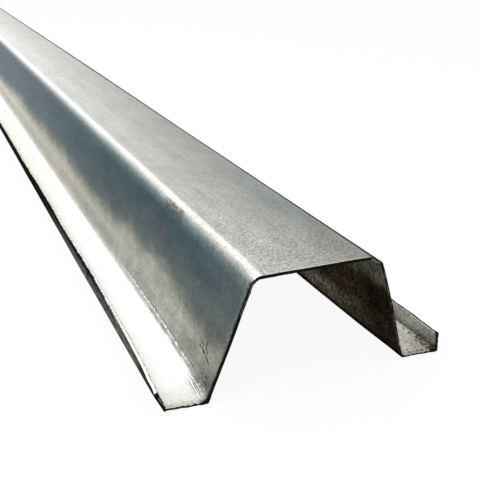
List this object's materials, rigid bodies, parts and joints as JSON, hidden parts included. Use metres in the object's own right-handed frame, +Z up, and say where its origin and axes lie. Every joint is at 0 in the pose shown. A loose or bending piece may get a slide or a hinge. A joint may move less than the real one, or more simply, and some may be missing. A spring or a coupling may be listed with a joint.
{
  "type": "omega profile",
  "caption": "Lipped omega profile: a straight bar of bent galvanised strip, with a flat crown on leaning webs, flat feet and upturned lips.",
  "frame": {"origin": "mid-length, on the centreline, level with the undersides of the feet", "axes": "+Z up through the crown, Y along the length with the pictured end at -Y, X across the section"},
  "size_m": [0.1368, 2, 0.055],
  "materials": {
    "galvanised_steel": "hot-dip galvanised, fine dull grain, handling scratches and grime"
  },
  "bodies": {
    "root": {"omega_profile": "galvanised_steel"}
  },
  "joints": []
}
